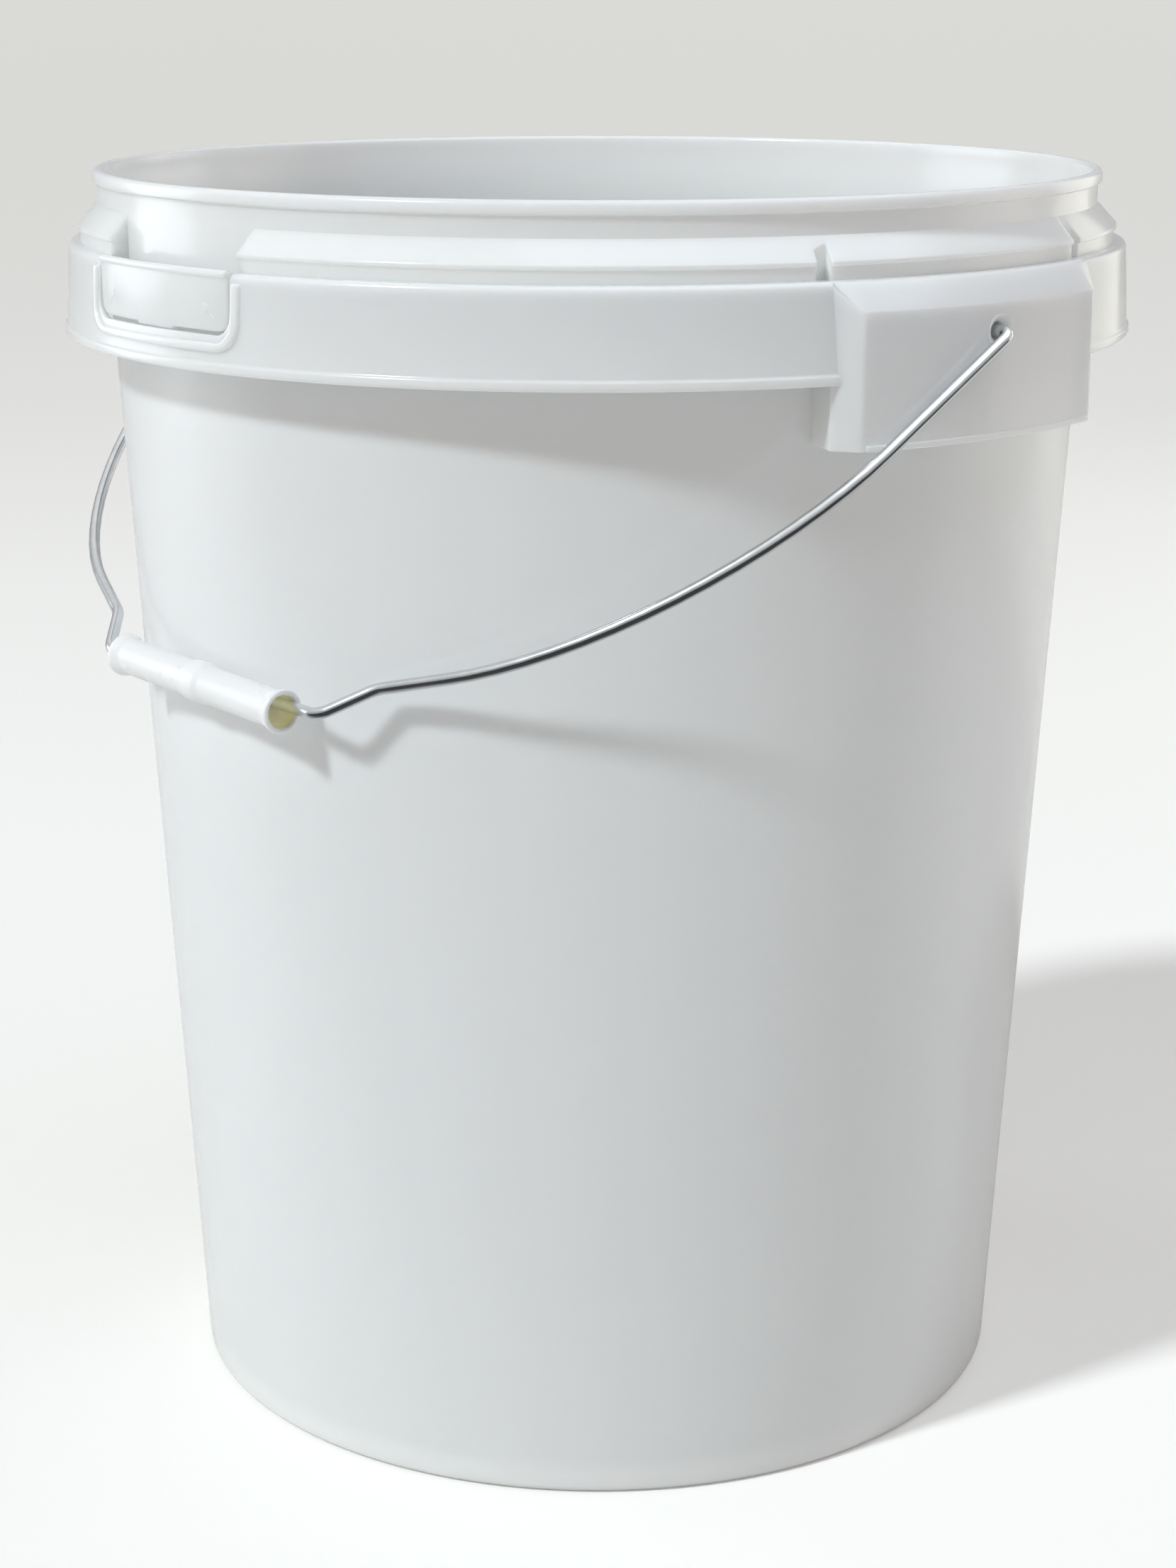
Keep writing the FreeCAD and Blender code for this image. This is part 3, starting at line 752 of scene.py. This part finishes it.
polypropylene = moulded_polypropylene()
bucket_moulding(polypropylene)
opening_tab(polypropylene)
bail_wire(zinc_plated_wire())
# The bore's yellow colours paint the warm glow of light through the tube's wall into its shaded
# bore.
grip_tube(moulded_polyethylene("moulded_polyethylene", "#F4F6F6", "#F8F9F9", 0.4, 0.002),
          moulded_polyethylene("bore_painted_warm_glow", "#E9DB9C", "#EFE4B4", 1.0, 0.008))


# ------------------------------------------------------------------ floor, light and camera
CAMERA_AZIMUTH = 49.4
CAMERA_DISTANCE = 1.0599
CAMERA_HEIGHT = 0.5019
CAMERA_PITCH = 15.396
CAMERA_YAW = 0.17
LENS = 68.06
DARK_REFLECTION_REACH = 0.3           # metres in front of the bucket's middle where the floor's painted dark reflection is full


def around(azimuth, distance, height):
    """A place round the bucket; azimuth 0 is in front of the tab, 90 in front of the right ear."""
    angle = math.radians(azimuth)
    return Vector((distance * math.sin(angle), -distance * math.cos(angle), height))


def studio_floor():
    """Matt painted floor, lifted a little so that it looks pale to the eye. In front of the bucket
    the floor shows dark grey to glossy rays only: a painted dark reflection, which gives the bright
    wire its dark edge."""
    bm = bmesh.new()
    bmesh.ops.create_circle(bm, cap_ends=True, segments=96, radius=400.0)
    bmesh.ops.translate(bm, verts=bm.verts[:], vec=(0, 0, -0.0002))
    mesh = bpy.data.meshes.new("studio_floor")
    bm.to_mesh(mesh)
    bm.free()
    floor = in_scene("studio_floor", mesh)
    material, tree, shader = new_material("painted_studio_floor")
    shader.inputs["Base Color"].default_value = linear("#EDECE8")
    shader.inputs["Roughness"].default_value = 0.8
    ray = add(tree, "ShaderNodeLightPath")
    lift = add(tree, "ShaderNodeMapRange", {"To Max": 0.2}, Value=ray.outputs["Is Camera Ray"])
    shader.inputs["Emission Color"].default_value = linear("#FFFFFF")
    tree.links.new(lift.outputs[0], shader.inputs["Emission Strength"])
    place = add(tree, "ShaderNodeTexCoord").outputs["Object"]
    forward = add(tree, "ShaderNodeVectorMath", {"operation": "DOT_PRODUCT"}, _0=place)
    forward.inputs[1].default_value = around(CAMERA_AZIMUTH, 1.0, 0.0)
    # Painted dark reflection: toward the front, the floor shows dark grey in glossy rays only.
    dark_reflection_mask = add(tree, "ShaderNodeMapRange", {"From Max": DARK_REFLECTION_REACH},
                Value=forward.outputs["Value"])
    mirrored = add(tree, "ShaderNodeMath", {"operation": "MULTIPLY"},
                   _0=dark_reflection_mask.outputs[0], _1=ray.outputs["Is Glossy Ray"])
    painted_dark_reflection = add(tree, "ShaderNodeBsdfDiffuse", {"Color": linear("#4A4A48")})
    both = add(tree, "ShaderNodeMixShader", _0=mirrored.outputs[0], _1=shader.outputs[0],
               _2=painted_dark_reflection.outputs[0])
    tree.links.new(both.outputs[0], tree.nodes["Material Output"].inputs[0])
    floor.data.materials.append(material)


def studio_world():
    """Soft light from low all round, with a brighter ceiling in the gloss, and a pale wall to look
    at past the floor."""
    world = bpy.data.worlds.new("studio")
    bpy.context.scene.world = world
    world.use_nodes = True
    tree = world.node_tree
    tree.nodes.clear()
    direction = add(tree, "ShaderNodeTexCoord").outputs["Generated"]
    height = add(tree, "ShaderNodeSeparateXYZ", Vector=direction).outputs["Z"]
    low = add(tree, "ShaderNodeMapRange", {"To Min": 0.44, "To Max": 0.0}, Value=height)
    high = add(tree, "ShaderNodeMapRange", {"From Min": 0.2, "From Max": 0.8, "To Min": 0.55,
                                            "To Max": 1.2}, Value=height)
    walls = add(tree, "ShaderNodeBackground", {"Color": linear("#FFEADE")},
                Strength=low.outputs[0])
    ceiling = add(tree, "ShaderNodeBackground", Strength=high.outputs[0])
    pale_wall = add(tree, "ShaderNodeBackground", {"Color": linear("#D8D8D6")})
    ray = add(tree, "ShaderNodeLightPath")
    lit = add(tree, "ShaderNodeMixShader", _0=ray.outputs["Is Glossy Ray"], _1=walls.outputs[0],
              _2=ceiling.outputs[0])
    both = add(tree, "ShaderNodeMixShader", _0=ray.outputs["Is Camera Ray"], _1=lit.outputs[0],
               _2=pale_wall.outputs[0])
    add(tree, "ShaderNodeOutputWorld", Surface=both.outputs[0])


def new_light(name, kind, strength, place, target, colour):
    """A lamp at this place, turned to its target."""
    data = bpy.data.lights.new(name, kind)
    data.energy = strength
    data.color = linear(colour)[:3]
    lamp = in_scene(name, data)
    lamp.location = place
    lamp.rotation_mode = "QUATERNION"
    lamp.rotation_quaternion = (Vector(target) - place).to_track_quat("-Z", "Y")
    return data


def area_light(name, watts, size, place, target, colour):
    """Soft round lamp, its size in metres."""
    data = new_light(name, "AREA", watts, place, target, colour)
    data.shape = "DISK"
    data.size = size


def key_light(strength, spread, place, colour):
    """Distant light from this side; its spread in degrees sets how soft the shadows are."""
    data = new_light("key_light", "SUN", strength, place, (0, 0, 0), colour)
    data.angle = math.radians(spread)


studio_floor()
key_light(1.99, 6.0, around(CAMERA_AZIMUTH - 54, 1.0, 0.94), "#F4FCFF")
area_light("sky_light", 22, 2.5, around(CAMERA_AZIMUTH + 60, 0.8, 2.4), (0, 0, 0.3), "#E5F1FF")
area_light("right_light", 2.5, 1.2, around(CAMERA_AZIMUTH + 95, 2.1, 0.4), (0, 0, 0.2), "#FFEBDE")
area_light("back_light", 4, 1.2, around(CAMERA_AZIMUTH + 132, 2.1, 0.6), (0, 0, 0.25), "#FFFEEE")
area_light("left_light", 8, 1.2, around(CAMERA_AZIMUTH - 110, 2.1, 0.6), (0, 0, 0.25), "#F0F7FF")
studio_world()
bpy.context.scene.view_settings.view_transform = "Standard"

camera_data = bpy.data.cameras.new("camera")
camera_data.lens = LENS
camera_data.sensor_width = 36.0
camera_data.clip_start = 0.05
camera = in_scene("camera", camera_data)
camera.location = around(CAMERA_AZIMUTH, CAMERA_DISTANCE, CAMERA_HEIGHT)
camera.rotation_euler = (math.radians(90 - CAMERA_PITCH), 0,
                         math.radians(CAMERA_AZIMUTH + CAMERA_YAW))
bpy.context.scene.camera = camera
